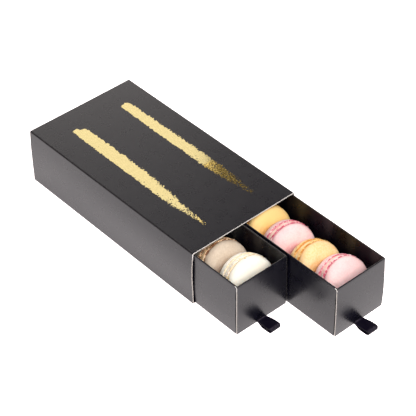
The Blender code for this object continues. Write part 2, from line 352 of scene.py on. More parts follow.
def make_floor():
    mesh = bpy.data.meshes.new("floor")
    corners = ((-1, -1), (1, -1), (1, 1), (-1, 1))
    mesh.from_pydata([(x * FLOOR_HALF, y * FLOOR_HALF, -FLOOR_DROP) for x, y in corners],
                     [], [(0, 1, 2, 3)])
    floor = bpy.data.objects.new("floor", mesh)
    bpy.context.scene.collection.objects.link(floor)
    p = Painter("pale_floor", Roughness=0.9, Base_Color=(*FLOOR_COLOUR, 1),
                Emission_Color=(*FLOOR_GLOW_COLOUR, 1))
    away = p.nodes.new("ShaderNodeVectorMath")
    away.operation = "DISTANCE"
    away.inputs[1].default_value = FLOOR_GLOW_CENTRE
    p.links.new(p.place, away.inputs[0])
    glow = p.ramp(away.outputs["Value"], *FLOOR_GLOW_RADII, FLOOR_GLOW_NEAR, FLOOR_GLOW_FAR)
    p.links.new(glow, p.shader.inputs["Emission Strength"])
    mesh.materials.append(p.material)


def area_light(name, place, aim, size, radiance, colour):
    """A soft rectangle of light in metres, its radiance as seen in a mirror.

    It shines towards the point it is aimed at, or along -Z of a rotation given instead.
    """
    data = bpy.data.lights.new(name, "AREA")
    data.shape = "RECTANGLE"
    data.size, data.size_y = size
    data.energy = radiance * math.pi * size[0] * size[1]
    data.color = colour
    light = bpy.data.objects.new(name, data)
    bpy.context.scene.collection.objects.link(light)
    if not isinstance(aim, Matrix):
        aim = (Vector(place) - Vector(aim)).to_track_quat("Z", "Y").to_matrix()
    light.matrix_world = Matrix.Translation(Vector(place)) @ aim.to_4x4()


def make_lights():
    """A soft key from the front, a fill from the front left, and what the card mirrors."""
    for name, (place, aim, size, radiance, colour) in LIGHTS.items():
        area_light(name, place, aim, size, radiance, colour)
    along, inward = Vector(PANEL_ALONG), Vector(PANEL_INWARD)
    centre = Vector(PANEL_EDGE) + along * PANEL_SHIFT + inward * PANEL_SIZE[1] / 2
    level = Matrix((along, inward, Vector((0, 0, 1)))).transposed()
    area_light("panel", centre, level, PANEL_SIZE, PANEL_RADIANCE, PANEL_COLOUR)


def make_world():
    """Pale at the horizon, dim overhead, so that the dark card stays dark."""
    world = bpy.data.worlds.new("studio")
    bpy.context.scene.world = world
    world.use_nodes = True
    nodes, links = world.node_tree.nodes, world.node_tree.links
    background = nodes["Background"]
    coordinates = nodes.new("ShaderNodeTexCoord")
    split = nodes.new("ShaderNodeSeparateXYZ")
    ramp = nodes.new("ShaderNodeValToRGB")
    ramp.color_ramp.interpolation = "EASE"
    ramp.color_ramp.elements[0].position = 0.0
    ramp.color_ramp.elements[0].color = (*HORIZON_RADIANCE, 1)
    ramp.color_ramp.elements[1].position = HORIZON_RISE
    ramp.color_ramp.elements[1].color = (*SKY_RADIANCE, 1)
    links.new(coordinates.outputs["Generated"], split.inputs[0])
    links.new(split.outputs["Z"], ramp.inputs["Fac"])
    links.new(ramp.outputs["Color"], background.inputs["Color"])


# Materials. Each range (low, high) of a noise is spread over the range that follows it.

class Painter:
    """A Principled material and short ways to add the nodes that feed it."""

    def __init__(self, name, **constants):
        self.material = bpy.data.materials.new(name)
        self.material.use_nodes = True
        self.nodes = self.material.node_tree.nodes
        self.links = self.material.node_tree.links
        self.shader = self.nodes["Principled BSDF"]
        for key, value in constants.items():
            self.shader.inputs[key.replace("_", " ")].default_value = value
        self.place = self.nodes.new("ShaderNodeTexCoord").outputs["Object"]

    def noise(self, size_mm, detail=2.0, stretch=(1, 1, 1), distortion=0.0):
        """Noise with features of that size; a stretch over 1 draws them out along an axis."""
        mapping = self.nodes.new("ShaderNodeMapping")
        mapping.inputs["Scale"].default_value = tuple(1 / s for s in stretch)
        texture = self.nodes.new("ShaderNodeTexNoise")
        texture.inputs["Scale"].default_value = 1 / (size_mm * MM)
        texture.inputs["Detail"].default_value = detail
        texture.inputs["Distortion"].default_value = distortion
        self.links.new(self.place, mapping.inputs["Vector"])
        self.links.new(mapping.outputs["Vector"], texture.inputs["Vector"])
        return texture.outputs["Fac"]

    def attribute(self, name):
        """A value that the mesh carries at each point."""
        node = self.nodes.new("ShaderNodeAttribute")
        node.attribute_name = name
        return node.outputs["Fac"]

    def ramp(self, value, low, high, start, end):
        """Spreads low..high of a value over start..end, and holds it there beyond them."""
        node = self.nodes.new("ShaderNodeMapRange")
        for key, number in (("From Min", low), ("From Max", high), ("To Min", start), ("To Max", end)):
            node.inputs[key].default_value = number
        self.links.new(value, node.inputs["Value"])
        return node.outputs["Result"]

    def math(self, operation, a, b):
        node = self.nodes.new("ShaderNodeMath")
        node.operation = operation
        for socket, value in zip(node.inputs, (a, b)):
            if isinstance(value, (int, float)):
                socket.default_value = value
            else:
                self.links.new(value, socket)
        return node.outputs[0]

    def mix(self, factor, a, b):
        """Colour a where the factor is 0, colour b where it is 1."""
        node = self.nodes.new("ShaderNodeMix")
        node.data_type = "RGBA"
        sockets = [s for s in node.inputs if s.type == "RGBA"]
        self.links.new(factor, node.inputs["Factor"])
        for socket, value in zip(sockets, (a, b)):
            if isinstance(value, tuple):
                socket.default_value = (*value, 1)
            else:
                self.links.new(value, socket)
        return next(s for s in node.outputs if s.type == "RGBA")

    def bump(self, height, strength, depth_mm, below=None):
        node = self.nodes.new("ShaderNodeBump")
        node.inputs["Strength"].default_value = strength
        node.inputs["Distance"].default_value = depth_mm * MM
        self.links.new(height, node.inputs["Height"])
        if below is not None:
            self.links.new(below, node.inputs["Normal"])
        self.links.new(node.outputs["Normal"], self.shader.inputs["Normal"])
        return node.outputs["Normal"]

    def colour(self, value):
        self.links.new(value, self.shader.inputs["Base Color"])

    def roughness(self, value):
        self.links.new(value, self.shader.inputs["Roughness"])


# Two tones of each; the card's third is its grey of wear and painted highlight at folds, the core's third
# its painted shade
CARD_COLOURS = ((0.0012, 0.0011, 0.0038), (0.0022, 0.0020, 0.0050), (0.05, 0.045, 0.042))
CORE_COLOURS = ((0.66, 0.62, 0.59), (0.90, 0.87, 0.84), (0.30, 0.26, 0.23))
FOIL_COLOURS = ((0.60, 0.50, 0.23), (0.68, 0.575, 0.28))
WORN_FOIL_COLOURS = ((0.28, 0.17, 0.025), (1.0, 0.76, 0.25))
# Two tones of the weave and the painted gleam over it
SATIN_COLOURS = ((0.0015, 0.0010, 0.0045), (0.006, 0.004, 0.012), (0.06, 0.05, 0.07))
SATIN_RIBS = 700.0


def card_material():
    """Black matt-laminated card: a soft sheen, faint mottling, folds a little grey from wear and painted
    highlight.
    """
    dark, pale, greyed = CARD_COLOURS
    p = Painter("black_card", IOR=1.34)
    mottle = p.ramp(p.noise(9, 3), 0.35, 0.65, 0, 1)
    base = p.mix(mottle, dark, pale)
    # Folds turn grey: partly wear, partly a painted highlight along the fold
    worn = p.math("MULTIPLY", p.attribute("fold"), p.ramp(p.noise(2.5, 3), 0.3, 0.6, 0.3, 1.0))
    p.colour(p.mix(worn, base, greyed))
    p.roughness(p.ramp(p.noise(9, 3), 0.3, 0.7, 0.265, 0.295))
    below = p.bump(p.noise(28, 1), 0.10, 0.5)
    p.bump(p.noise(0.5, 2, stretch=(1, 2.5, 1)), 0.02, 0.01, below)
    return p.material


def core_material():
    """The white board that shows where the card is cut."""
    dark, pale, dirt = CORE_COLOURS
    p = Painter("white_core", Roughness=0.85)
    fibre = p.noise(0.35, 4, stretch=(1, 1, 0.5))
    paper = p.mix(p.ramp(fibre, 0.3, 0.7, 0, 1), dark, pale)
    # Painted shade: the core darkens away from its top edge
    p.colour(p.mix(p.attribute("soiled"), paper, dirt))
    p.bump(fibre, 0.4, 0.06)
    return p.material


def foil_material():
    """Hot-stamped gold foil with fine brush lines, thin and brown-gold where it is dull."""
    p = Painter("gold_foil", Metallic=1.0)
    lines = p.noise(0.5, 3, stretch=(1, 7, 1))
    bright = p.mix(p.ramp(lines, 0.35, 0.65, 0, 1), *FOIL_COLOURS)
    patch = p.ramp(p.noise(1.3, 3), 0.38, 0.62, 0, 1)
    worn = p.mix(patch, *WORN_FOIL_COLOURS)
    p.colour(p.mix(p.attribute("dull"), bright, worn))
    p.roughness(p.ramp(p.noise(0.8, 2), 0.3, 0.7, 0.05, 0.12))
    p.bump(p.noise(0.9, 3, stretch=(1, 2, 1)), 0.08, 0.02)
    return p.material


def satin_material():
    """Black satin ribbon: fine ribs across its width, a soft gleam painted into its colour where it bends.
    """
    dark, pale, bright = SATIN_COLOURS
    p = Painter("black_satin", IOR=1.3)
    p.shader.inputs["Anisotropic"].default_value = 0.4
    ribs = p.nodes.new("ShaderNodeTexWave")
    ribs.bands_direction = "Y"
    ribs.inputs["Scale"].default_value = SATIN_RIBS
    ribs.inputs["Distortion"].default_value = 0.8
    ribs.inputs["Detail"].default_value = 1.0
    p.links.new(p.place, ribs.inputs["Vector"])
    weave = p.mix(p.noise(1.5, 3), dark, pale)
    # Painted gleam: lighter colour along the bands the mesh marks
    gleam = p.math("MULTIPLY", p.attribute("shine"), p.ramp(p.noise(2.2, 2), 0.35, 0.6, 0.2, 1.0))
    p.colour(p.mix(gleam, weave, bright))
    p.roughness(p.ramp(p.noise(0.8, 3), 0.3, 0.7, 0.36, 0.46))
    p.bump(ribs.outputs["Fac"], 0.35, 0.04)
    return p.material


# Per flavour: dome pale, dome deep, foot pale, foot deep (also the painted shade of its crease, its hollows
# and where neighbours meet), speck
SHELL_COLOURS = {
    "pink": ((0.92, 0.64, 0.63), (0.91, 0.57, 0.56), (0.94, 0.62, 0.60), (0.54, 0.06, 0.12),
             (0.80, 0.40, 0.42)),
    "yellow": ((0.93, 0.67, 0.37), (0.92, 0.59, 0.27), (0.94, 0.62, 0.24), (0.58, 0.21, 0.02),
               (0.82, 0.44, 0.12)),
    "white": ((0.91, 0.87, 0.77), (0.89, 0.84, 0.73), (0.92, 0.87, 0.76), (0.74, 0.57, 0.35),
              (0.82, 0.75, 0.62)),
    "taupe": ((0.63, 0.52, 0.41), (0.57, 0.46, 0.35), (0.84, 0.58, 0.36), (0.20, 0.07, 0.02),
              (0.46, 0.31, 0.20)),
}
CRUMB_COLOUR = (0.62, 0.40, 0.06)
# How far light spreads inside shell and cream: weight, radius per colour, scale in metres
SHELL_SCATTER = (0.3, (1.0, 0.85, 0.75), 0.003)
CREAM_SCATTER = (0.2, (1.0, 0.6, 0.4), 0.0012)
# How blotchy the painted shade in each foot's bubble hollows is, and how strongly its colour climbs the
# dome's edge
BUBBLE_TINT = {"pink": 0.42, "yellow": 0.50, "white": 0.18, "taupe": 0.70}
TOASTING = {"pink": 0.6, "yellow": 0.8, "white": 0.2, "taupe": 1.2}
# Per flavour: the cream, and the deep colour of the painted shade in its hollows
FILLING_COLOURS = {
    "pink": ((0.93, 0.66, 0.56), (0.76, 0.24, 0.27)),
    "yellow": ((0.94, 0.70, 0.36), (0.80, 0.38, 0.06)),
    "white": ((0.88, 0.81, 0.69), (0.70, 0.60, 0.45)),
    "taupe": ((0.74, 0.50, 0.28), (0.16, 0.06, 0.02)),
}


def set_scatter(shader, weight, radius, scale):
    shader.inputs["Subsurface Weight"].default_value = weight
    shader.inputs["Subsurface Radius"].default_value = radius
    shader.inputs["Subsurface Scale"].default_value = scale


def shell_material(flavour):
    """Baked almond shell: pale smooth dome, deeper bubbly foot, tiny pits, and painted shade in the foot's
    crease and hollows.
    """
    pale, deep, foot_pale, foot_deep, speck = SHELL_COLOURS[flavour]
    p = Painter(f"{flavour}_shell", IOR=1.4)
    set_scatter(p.shader, *SHELL_SCATTER)
    grain = p.noise(0.35, 3)
    mottle = p.math("MULTIPLY", p.math("SUBTRACT", p.noise(1.3, 2), 0.5), 1.6)
    cloud = p.math("ADD", p.noise(6, 3), mottle)
    dome = p.mix(p.ramp(cloud, 0.30, 0.70, 0, 1), pale, deep)
    dome = p.mix(p.ramp(grain, 0.70, 0.78, 0, 0.35), dome, speck)
    dome = p.mix(p.attribute("baked"), dome, foot_pale)
    # Painted shade where a neighbour or the drawer's front is near, in the foot's deep colour
    dome = p.mix(p.attribute("touch"), dome, foot_deep)
    pores = p.math("MULTIPLY", p.math("SUBTRACT", p.noise(1.2, 2), 0.5), 2.4)
    # Painted shade: the foot darkens along its crease, in its bubble hollows and by the filling, broken up
    # by pores
    shade = p.ramp(p.math("ADD", p.attribute("hollow"), pores), 0.32, 0.74, 0, 1)
    foot = p.mix(shade, foot_pale, foot_deep)
    foot = p.mix(p.attribute("crumb"), foot, CRUMB_COLOUR)
    dome = p.mix(p.attribute("crumb"), dome, CRUMB_COLOUR)
    p.colour(p.mix(p.attribute("foot"), dome, foot))
    p.roughness(p.ramp(p.noise(2, 3), 0.3, 0.7, 0.50, 0.66))
    below = p.bump(p.noise(1.7, 3), 0.30, 0.18)
    p.bump(p.noise(0.45, 4), 0.25, 0.10, below)
    return p.material


def filling_material(flavour):
    """Soft cream between the shells, with painted shade in its hollows."""
    pale, deep = FILLING_COLOURS[flavour]
    p = Painter(f"{flavour}_filling", IOR=1.45)
    set_scatter(p.shader, *CREAM_SCATTER)
    # Painted shade: the cream turns to its deep colour where its lumps sink in
    p.colour(p.mix(p.ramp(p.attribute("hollow"), 0.4, 0.9, 0, 1), pale, deep))
    p.roughness(p.ramp(p.noise(1, 2), 0.3, 0.7, 0.40, 0.60))
    p.bump(p.noise(0.6, 3), 0.4, 0.12)
    return p.material


# Sleeve

def rounded_outline(half, low, high, radii, arc_steps, side_steps, across_steps):
    """(a, b, normal a, normal b, fold) anticlockwise round a rounded rectangle.

    It spans -half..half along a and low..high along b, and starts at the corner of
    greatest a and least b. The radii are those of its low and its high corners.
    """
    r_low, r_high = radii
    corners = ((half - r_low, low + r_low, r_low), (half - r_high, high - r_high, r_high),
               (r_high - half, high - r_high, r_high), (r_low - half, low + r_low, r_low))
    points = []
    for k, (ca, cb, radius) in enumerate(corners):
        start = math.radians(-90 + 90 * k)
        for i in range(arc_steps + 1):
            angle = start + math.pi / 2 * i / arc_steps
            c, s = math.cos(angle), math.sin(angle)
            fold = 1.0 if radius == r_high else 0.0
            points.append((ca + radius * c, cb + radius * s, c, s, fold))
        na, nb = round(math.cos(start + math.pi / 2)), round(math.sin(start + math.pi / 2))
        next_a, next_b, next_radius = corners[(k + 1) % 4]
        from_a, from_b = ca + radius * na, cb + radius * nb
        to_a, to_b = next_a + next_radius * na, next_b + next_radius * nb
        steps = side_steps if k % 2 == 0 else across_steps
        crisp = CRISP_END / math.hypot(to_a - from_a, to_b - from_b)
        for t in np.linspace(crisp, 1 - crisp, steps - 1):
            a = from_a + (to_a - from_a) * t
            b = from_b + (to_b - from_b) * t
            points.append((a, b, na, nb, 0.0))
    return np.array(points)


def side_bow(y):
    """How far the sleeve's sides stand out at y, more at its mouth than at its back."""
    share = smooth_step((y - SLEEVE_LOW[1]) / SLEEVE_LENGTH)
    return SIDE_BOW_MOUTH + (SIDE_BOW_BACK - SIDE_BOW_MOUTH) * share


def top_sag(x, y):
    """How far the top panel lies below its folds, in millimetres."""
    across = np.clip(1 - (x / SLEEVE_HALF) ** 2, 0, 1)
    points = np.column_stack([np.atleast_1d(x), np.atleast_1d(y), np.zeros(np.size(x))])
    return across * (TOP_SAG + TOP_SAG_CHANGE * noise(points, TOP_SAG_SIZE, 3))


def sleeve_ring(outline, y, inset):
    """The outline at y, moved in by the inset, with the side panels bowed out and a little flared."""
    a = outline[:, 0] - outline[:, 2] * inset
    a = np.clip(a, inset - SLEEVE_HALF, SLEEVE_HALF - inset)
    b = np.maximum(outline[:, 1] - outline[:, 3] * inset, inset)
    y = np.full(len(a), y)
    share = b / CARD_TOP
    bow = side_bow(y)
    belly = bow * np.sin(np.pi * share) * (BELLY_LOW + BELLY_GAIN * share)
    flare = SIDE_FLARE * bow / SIDE_BOW_MOUTH * (1 - share) ** FLARE_POWER
    x = a + a / SLEEVE_HALF * (belly + flare)
    on_top = smooth_step(outline[:, 1] / CARD_TOP * 10 - 9)
    return np.column_stack([x, y, b - on_top * top_sag(x, y)])


def make_sleeve(card, core):
    """The card tube, and the bare board at its two ends."""
    outline = rounded_outline(SLEEVE_HALF, 0.0, CARD_TOP, (BOTTOM_RADIUS, CREASE_RADIUS), *SLEEVE_STEPS)
    front, back = SLEEVE_LOW[1] + CORE_WRAP, SLEEVE_HIGH[1] - CORE_WRAP
    between = np.linspace(front + EDGE_BAND, back - EDGE_BAND, SLEEVE_RINGS)
    stations = np.concatenate([[front], between, [back]])
    rings = [sleeve_ring(outline, y, 0.0) for y in stations]
    rings += [sleeve_ring(outline, y, BOARD) for y in stations[::-1]]
    count = len(outline)
    faces = ring_faces(len(rings), count, closed_rings=True, closed_loft=True)
    # Grey of wear and painted highlight on the top folds and at the cut ends
    fold = np.tile(outline[:, 4] * 0.3, len(rings)).reshape(len(rings), count)
    last = len(stations) - 1
    for end in (0, last, last + 1, 2 * last + 1):
        fold[end] = 1.0
    add_mesh("sleeve_card", np.vstack(rings), faces, card, "sleeve", "black_card", ["sleeve"], 40,
             fold=fold.ravel())
    ends = (("sleeve_core_mouth", SLEEVE_LOW[1], CORE_DEPTH),
            ("sleeve_core_back", SLEEVE_HIGH[1], -CORE_DEPTH))
    for name, face, depth in ends:
        loop = ((face, 0.0), (face + depth, 0.0), (face + depth, BOARD), (face, BOARD))
        verts = np.vstack([sleeve_ring(outline, y, inset) for y, inset in loop])
        # The bare core is painted darker below its top edge, as shade
        add_mesh(name, verts, ring_faces(4, count, True, True), core, "sleeve", "white_core", (), 40,
                 soiled=SOILED["sleeve"] * smooth_step((CARD_TOP - 2 - verts[:, 2]) / 5))


# Foil strokes on the sleeve's top, like two dry brush strokes

def stroke_field(x, y, stroke):
    """Positive where the foil is, over arrays of x and y in millimetres."""
    seed = stroke["seed"]
    t = (stroke["start"] - y) / (stroke["start"] - stroke["end"])
    half = np.interp(t, *stroke["half"])
    across = (x - np.interp(t, *stroke["middle"])) / half
    points = np.column_stack([x, y, np.zeros_like(x)])
    stretched = points / np.array([1.0, BRISTLE_STRETCH, 1.0])
    fray = smooth_step((t - FRAY_START) / (1 - FRAY_START))
    rough_side = np.where(across > 0, RIGHT_ROUGHNESS, LEFT_ROUGHNESS)
    ragged = rough_side * noise(points, 1.05, seed + 1) * (1 + 0.9 * fray)
    inside = half * (1 - np.abs(across)) + 0.35 * noise(points, 2.2, seed) + ragged
    begun = stroke["start"] + np.interp(across, *stroke["begins"]) - y
    begun = begun + 0.5 * noise(points, 0.9, seed + 3)
    ended = y - stroke["end"] + 1.5 * noise(points, 0.9, seed + 6)
    bristles = 0.55 * noise(stretched, 0.65, seed + 4) + 0.6 * noise(points, 0.8, seed + 5)
    near_edge = np.clip(np.abs(across), 0, 1) ** 2
    thin_edge = (0.15 + 0.45 * fray) * (1 - 0.6 * fray**4) * near_edge
    cover = FULL_COVER - FRAYED_LOSS * fray - thin_edge - END_LOSS * fray**6
    kept = (cover - np.abs(bristles)) * 1.5
    return np.minimum.reduce([inside, begun, ended, kept])


def contour_mesh(xs, ys, field):
    """Points (x, y) and faces of the region where a gridded field is positive."""
    points, faces, known = [], [], {}

    def point(key, x, y):
        if key not in known:
            known[key] = len(points)
            points.append((x, y))
        return known[key]

    for i in range(len(xs) - 1):
        for j in range(len(ys) - 1):
            corners = ((i, j), (i + 1, j), (i + 1, j + 1), (i, j + 1))
            values = [field[c] for c in corners]
            if max(values) <= 0:
                continue
            face = []
            for k in range(4):
                a, b = corners[k], corners[(k + 1) % 4]
                va, vb = values[k], values[(k + 1) % 4]
                if va > 0:
                    face.append(point(a, xs[a[0]], ys[a[1]]))
                if (va > 0) != (vb > 0):
                    low, high = min(a, b), max(a, b)
                    vl, vh = field[low], field[high]
                    t = min(0.95, max(0.05, vl / (vl - vh)))
                    x = xs[low[0]] + (xs[high[0]] - xs[low[0]]) * t
                    y = ys[low[1]] + (ys[high[1]] - ys[low[1]]) * t
                    face.append(point((low, high), x, y))
            faces.append(tuple(face))
    return np.array(points), faces


def make_foil(side, stroke, foil):
    """One stroke as a film of foil with its own thin edge."""
    widest, centre = max(stroke["half"][1]) + FOIL_MARGIN, np.mean(stroke["middle"][1])
    xs = np.arange(centre - widest, centre + widest, FOIL_CELL)
    ys = np.arange(stroke["end"] - 3, stroke["start"] + 3, FOIL_CELL)
    gx, gy = np.meshgrid(xs, ys, indexing="ij")
    field = stroke_field(gx.ravel(), gy.ravel(), stroke).reshape(gx.shape)
    field[0, :] = field[-1, :] = field[:, 0] = field[:, -1] = -1
    flat, faces = contour_mesh(xs, ys, field)
    card = CARD_TOP - top_sag(flat[:, 0], flat[:, 1])
    upper = np.column_stack([flat, card + FOIL_THICKNESS])
    lower = np.column_stack([flat, card - FOIL_THICKNESS])
    n = len(flat)
    used = {(a, b) for face in faces for a, b in zip(face, face[1:] + face[:1])}
    rim = [(a + n, b + n, b, a) for a, b in sorted(used) if (b, a) not in used]
    under = [tuple(v + n for v in face[::-1]) for face in faces]
    t = (stroke["start"] - flat[:, 1]) / (stroke["start"] - stroke["end"])
    dull_from, dull_to = stroke["dull"]
    dull = smooth_step((t - dull_from) / (dull_to - dull_from))
    add_mesh(f"foil_{side}", np.vstack([upper, lower]), faces + under + rim, foil, "sleeve",
             "gold_foil", (), 30, dull=np.tile(dull, 2))


# Drawer trays

def tray_bulge(share, side, normal):
    """How far the walls belly out at a share of their height, in millimetres, as x and y.

    The front and the wall towards the sleeve's side have the room for it.
    """
    away = 1 if side == "right" else -1
    most_x = np.where(normal[..., 0] * away > 0, TRAY_BULGE, TRAY_INNER_BULGE)
    most_y = np.where(normal[..., 1] < 0, TRAY_BULGE, TRAY_INNER_BULGE)
    return normal * np.stack([most_x, most_y], axis=-1) * math.sin(math.pi * share**BULGE_POWER)


def tray_outlines():
    """Outer and inner outline (x, y) of a tray, the normals, and how much each point is a fold.

    The outer one has the bare cut corner at the front left, with a groove behind the front ply.
    """
    steps = (CORNER_STEPS, SIDE_STEPS, FRONT_STEPS)
    outer = rounded_outline(TRAY_HALF, 0.0, TRAY_LENGTH, (TRAY_CORNER, TRAY_CORNER), *steps)
    inner = rounded_outline(TRAY_HALF - TRAY_WALL, TRAY_WALL, TRAY_LENGTH - TRAY_WALL,
                            (TRAY_INNER_CORNER, TRAY_INNER_CORNER), *steps)
    left, groove_end = -TRAY_HALF, FRONT_PLY + PLY_GROOVE_WIDTH
    groove = left + PLY_GROOVE_DEPTH
    corner = ((left, groove_end), (groove, groove_end), (groove, FRONT_PLY), (left, FRONT_PLY),
              (left, 0.4), (left, 0.04), (left + 0.04, 0.0))
    first = len(outer) - FRONT_STEPS - CORNER_STEPS
    outer[first:first + len(corner), :2] = corner
    normal = inner[:, 2:4]
    normal[first:first + len(corner)] = -1
    return outer[:, :2], inner[:, :2], normal, outer[:, 4]


def make_tray(side, card, core):
    """Folded card tray with rolled rims, replacing the plain one.

    Each level is a share of the way from outer to inner outline, a height and a fold value.
    """
    low, high = box_mm(f"{side}_tray")
    middle = (low[0] + high[0]) / 2
    outer, inner, normal, corner_fold = tray_outlines()
    height = high[2] - low[2]
    rim = TRAY_WALL / 2
    levels = [(0.05, 0.0, 0.0), (0.0, 0.06, 0.0)]
    levels += [(0.0, z, 0.0) for z in np.linspace(0.3, height - rim, WALL_LEVELS)]
    for angle in np.linspace(0, math.pi, RIM_LEVELS)[1:-1]:
        levels.append(((1 - math.cos(angle)) / 2, height - rim + rim * math.sin(angle),
                       float(smooth_step(angle - 1.0))))
    levels += [(1.0, z, 0.0) for z in np.linspace(height - rim, TRAY_FLOOR, INNER_LEVELS)]
    verts, fold = [], []
    for share, z, folded in levels:
        xy = outer + (inner - outer) * share
        spot = np.column_stack([xy / TRAY_WAVE_LENGTH, np.full(len(xy), z / TRAY_WAVE_RISE)])
        wave = TRAY_WAVE * np.abs(noise(spot, 1, 5))
        xy = xy - normal * wave[:, None] + tray_bulge(z / height, side, normal)
        xy = xy + np.array([middle, low[1]])
        verts.append(np.column_stack([xy, np.full(len(xy), z + low[2])]))
        # Grey of wear and painted highlight at the corners and on the rolled rim
        fold.append(np.maximum(corner_fold * 0.7, folded))
    count = len(outer)
    faces = ring_faces(len(levels), count, closed_rings=True)
    last = (len(levels) - 1) * count
    faces.append(tuple(range(count)))
    faces.append(tuple(last + k for k in range(count))[::-1])
    tray = add_mesh(f"{side}_tray_card", np.vstack(verts), faces, card, f"{side}_drawer", "black_card",
                    [f"{side}_tray"], 35, fold=np.concatenate(fold))
    make_cut_corner(side, low, high, core)
    return tray


def make_cut_corner(side, low, high, core):
    """Bare board at the front ply's left edge, hooking back over the rim at its top."""
    top = high[2] - low[2]
    hook_low = top - HOOK_DROP
    path = [(CORE_LINE, z, CORE_HALF) for z in np.linspace(0.3, top - 3.0, 18)]
    path.append((HOOK_START, hook_low, CORE_HALF))
    for angle in np.linspace(0, math.pi / 2, 7)[1:]:
        path.append((HOOK_START + HOOK_REACH * (1 - math.cos(angle)),
                     hook_low + HOOK_RISE * math.sin(angle), HOOK_HALF))
    tip_y, tip_drop, tip_half = HOOK_TIP
    path.append((tip_y, top - tip_drop, tip_half))
    verts = []
    for k, (y, z, half) in enumerate(path):
        before, after = path[max(0, k - 1)], path[min(len(path) - 1, k + 1)]
        dy, dz = after[0] - before[0], after[1] - before[1]
        length = math.hypot(dy, dz)
        ny, nz = -dz / length, dy / length
        bulge_x, bulge_y = tray_bulge(min(1.0, z / top), side, np.array([-1.0, -1.0]))
        for depth, reach in ((-CORE_PROUD, 1), (CORE_SUNK, 1), (CORE_SUNK, -1), (-CORE_PROUD, -1)):
            verts.append((low[0] + depth + bulge_x, low[1] + y + bulge_y + ny * half * reach,
                          low[2] + z + nz * half * reach))
    faces = ring_faces(len(path), 4, closed_rings=True)
    faces.append((0, 1, 2, 3))
    last = 4 * (len(path) - 1)
    faces.append((last + 3, last + 2, last + 1, last))
    # Painted shade: the strip darker, the hook over the rim lighter
    soiled = [SOILED["ply"] if z < high[2] - 3 else SOILED["hook"] for _, _, z in verts]
    add_mesh(f"{side}_ply_core", verts, faces, core, f"{side}_drawer", "white_core", (), 40,
             soiled=soiled)


# Ribbon pulls

def ribbon_path(reach):
    """(y, z) along the loop's middle line: out at the bottom, round the end, back on top."""
    radius = (RIBBON_END_HIGH - RIBBON_END_LOW) / 2
    centre = (RIBBON_END_HIGH + RIBBON_END_LOW) / 2
    leg = reach - radius
    fall = RIBBON_END_LOW - RIBBON_SLIT_LOW
    rise = RIBBON_END_HIGH - RIBBON_SLIT_HIGH
    out, back = [(RIBBON_TUCK, RIBBON_SLIT_LOW)], [(RIBBON_TUCK, RIBBON_SLIT_HIGH)]
    for i in range(RIBBON_LEG_STEPS):
        t = i / RIBBON_LEG_STEPS
        out.append((-leg * t, RIBBON_SLIT_LOW + fall * smooth_step(2 * t)))
        back.append((-leg * t, RIBBON_SLIT_HIGH + rise * smooth_step(t)))
    turn = []
    for angle in np.linspace(-math.pi / 2, math.pi / 2, RIBBON_TURN_STEPS):
        turn.append((-leg - radius * math.cos(angle), centre + radius * math.sin(angle)))
    return np.array(out + turn + back[::-1])


def make_ribbon(side, satin):
    """A satin loop, pinched where it leaves the slit and flaring to its folded end.

    It is swept along its path; out is 0 at the slit and 1 at the end, u crosses the ribbon.
    """
    low, high = box_mm(f"{side}_ribbon")
    tray_low, _ = box_mm(f"{side}_tray")
    reach = tray_low[1] - low[1] - RIBBON_THICKNESS / 2
    path = ribbon_path(reach)
    middle, half = (low[0] + high[0]) / 2, (high[0] - low[0]) / 2
    tangent = np.gradient(path, axis=0)
    tangent /= np.linalg.norm(tangent, axis=1)[:, None]
    normal = np.column_stack([tangent[:, 1], -tangent[:, 0]])
    across = np.linspace(-1, 1, RIBBON_WIDTH_STEPS)
    verts, shine = [], []
    for k, (y, z) in enumerate(path):
        out = min(1.0, max(0.0, -y / reach))
        end = min(1.0, max(0.0, 1 - (reach + y) / RIBBON_ROUND))
        flare = RIBBON_PINCH + (1 - RIBBON_PINCH) * float(smooth_step(out * 1.8))
        width = half * flare * (1 - RIBBON_END_NARROWING * (1 - math.sqrt(1 - end**2)))
        # Painted gleam bands across the ribbon, near the slit and near its end
        gleam = sum(most * math.exp(-((out - place) / spread) ** 2) for place, spread, most in RIBBON_GLEAMS)
        wave_here = RIBBON_WAVE * (1 - out) * min(1, out * 8)
        shift = RIBBON_SHIFT * (1 - 0.6 * out)
        lift = math.copysign(1.0, k - len(path) / 2)
        for sign in (1, -1):
            for u in across[::sign]:
                edge = 1 - 0.35 * smooth_step((abs(u) - 0.82) / 0.18)
                wave = wave_here * math.sin(3.2 * u + 2.0 + 2.5 * out + 1.4 * lift)
                thick = RIBBON_THICKNESS / 2 * 0.9 * edge * sign
                verts.append((middle + shift + u * width, tray_low[1] + y + normal[k, 0] * thick,
                              tray_low[2] + z + normal[k, 1] * thick + wave))
                shine.append(gleam * (1 - abs(u) ** 4))
    ring = 2 * len(across)
    faces = ring_faces(len(path), ring, closed_rings=True)
    faces.append(tuple(range(ring)))
    faces.append(tuple((len(path) - 1) * ring + k for k in range(ring))[::-1])
    ribbon = add_mesh(f"{side}_ribbon_satin", verts, faces, satin, f"{side}_drawer", "black_satin",
                      [f"{side}_ribbon"], 50, shine=shine)


# Macarons

def packed_points(node):
    return np.array([v.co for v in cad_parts[node].data.vertices]) / MM


def macaron_place(name):
    """Centre, axis out of the front face, radius and half thickness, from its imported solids.

    The filling is a flat disc, so the direction in which it is thinnest is the axis.
    """
    filling = np.unique(np.round(packed_points(f"{name}_filling"), 4), axis=0)
    centre = filling.mean(0)
    _, _, axes = np.linalg.svd(filling - centre)
    axis = axes[2] if axes[2][1] < 0 else -axes[2]
    away = np.vstack([packed_points(f"{name}_{part}") for part in ("front", "rear")]) - centre
    along = away @ axis
    radial = np.linalg.norm(away - along[:, None] * axis, axis=1)
    radius = np.percentile(radial[radial > 0.9 * radial.max()], 70)
    return centre, axis, radius, (along.max() - along.min()) / 2


